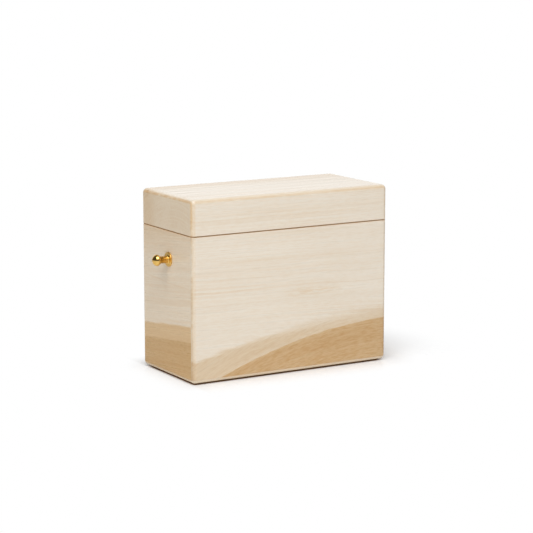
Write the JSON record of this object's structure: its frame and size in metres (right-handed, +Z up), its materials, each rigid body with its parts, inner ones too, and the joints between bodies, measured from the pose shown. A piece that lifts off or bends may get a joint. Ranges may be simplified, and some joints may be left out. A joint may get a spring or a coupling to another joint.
{
  "type": "lidded wooden box",
  "caption": "Tall narrow wooden box with a lift-off block lid, rounded edges, a raised inner lip and a small turned brass knob on its left end.",
  "frame": {"origin": "centre of the underside of the box, on the surface that it stands on", "axes": "+X along the long side, away from the knob; -Y out of the front; +Z up"},
  "size_m": [0.2159, 0.094, 0.162],
  "materials": {
    "front_wood": "sanded smooth, thin satin oil",
    "back_wood": "sanded smooth, thin satin oil",
    "left_wood": "sanded smooth, thin satin oil",
    "right_wood": "sanded smooth, thin satin oil",
    "bottom_wood": "sanded, unfinished",
    "liner_wood": "sanded, unfinished",
    "lid_wood": "sanded smooth, thin satin oil",
    "brass": "turned and polished",
    "screw_steel": "bright zinc plated"
  },
  "bodies": {
    "box_body": {"front_board": "front_wood", "back_board": "back_wood", "left_end_board": "left_wood", "right_end_board": "right_wood", "bottom_panel": "bottom_wood", "front_liner": "liner_wood", "right_liner": "liner_wood", "back_liner": "liner_wood", "left_liner": "liner_wood", "brass_knob": "brass", "knob_washer": "screw_steel", "knob_screw": "screw_steel"},
    "lid": {"lid_block": "lid_wood"}
  },
  "joints": [
    {"name": "lid_lift", "type": "slide", "parent": "box_body", "child": "lid", "axis": [0, 0, 1], "range_m": [0, 0.1]}
  ]
}
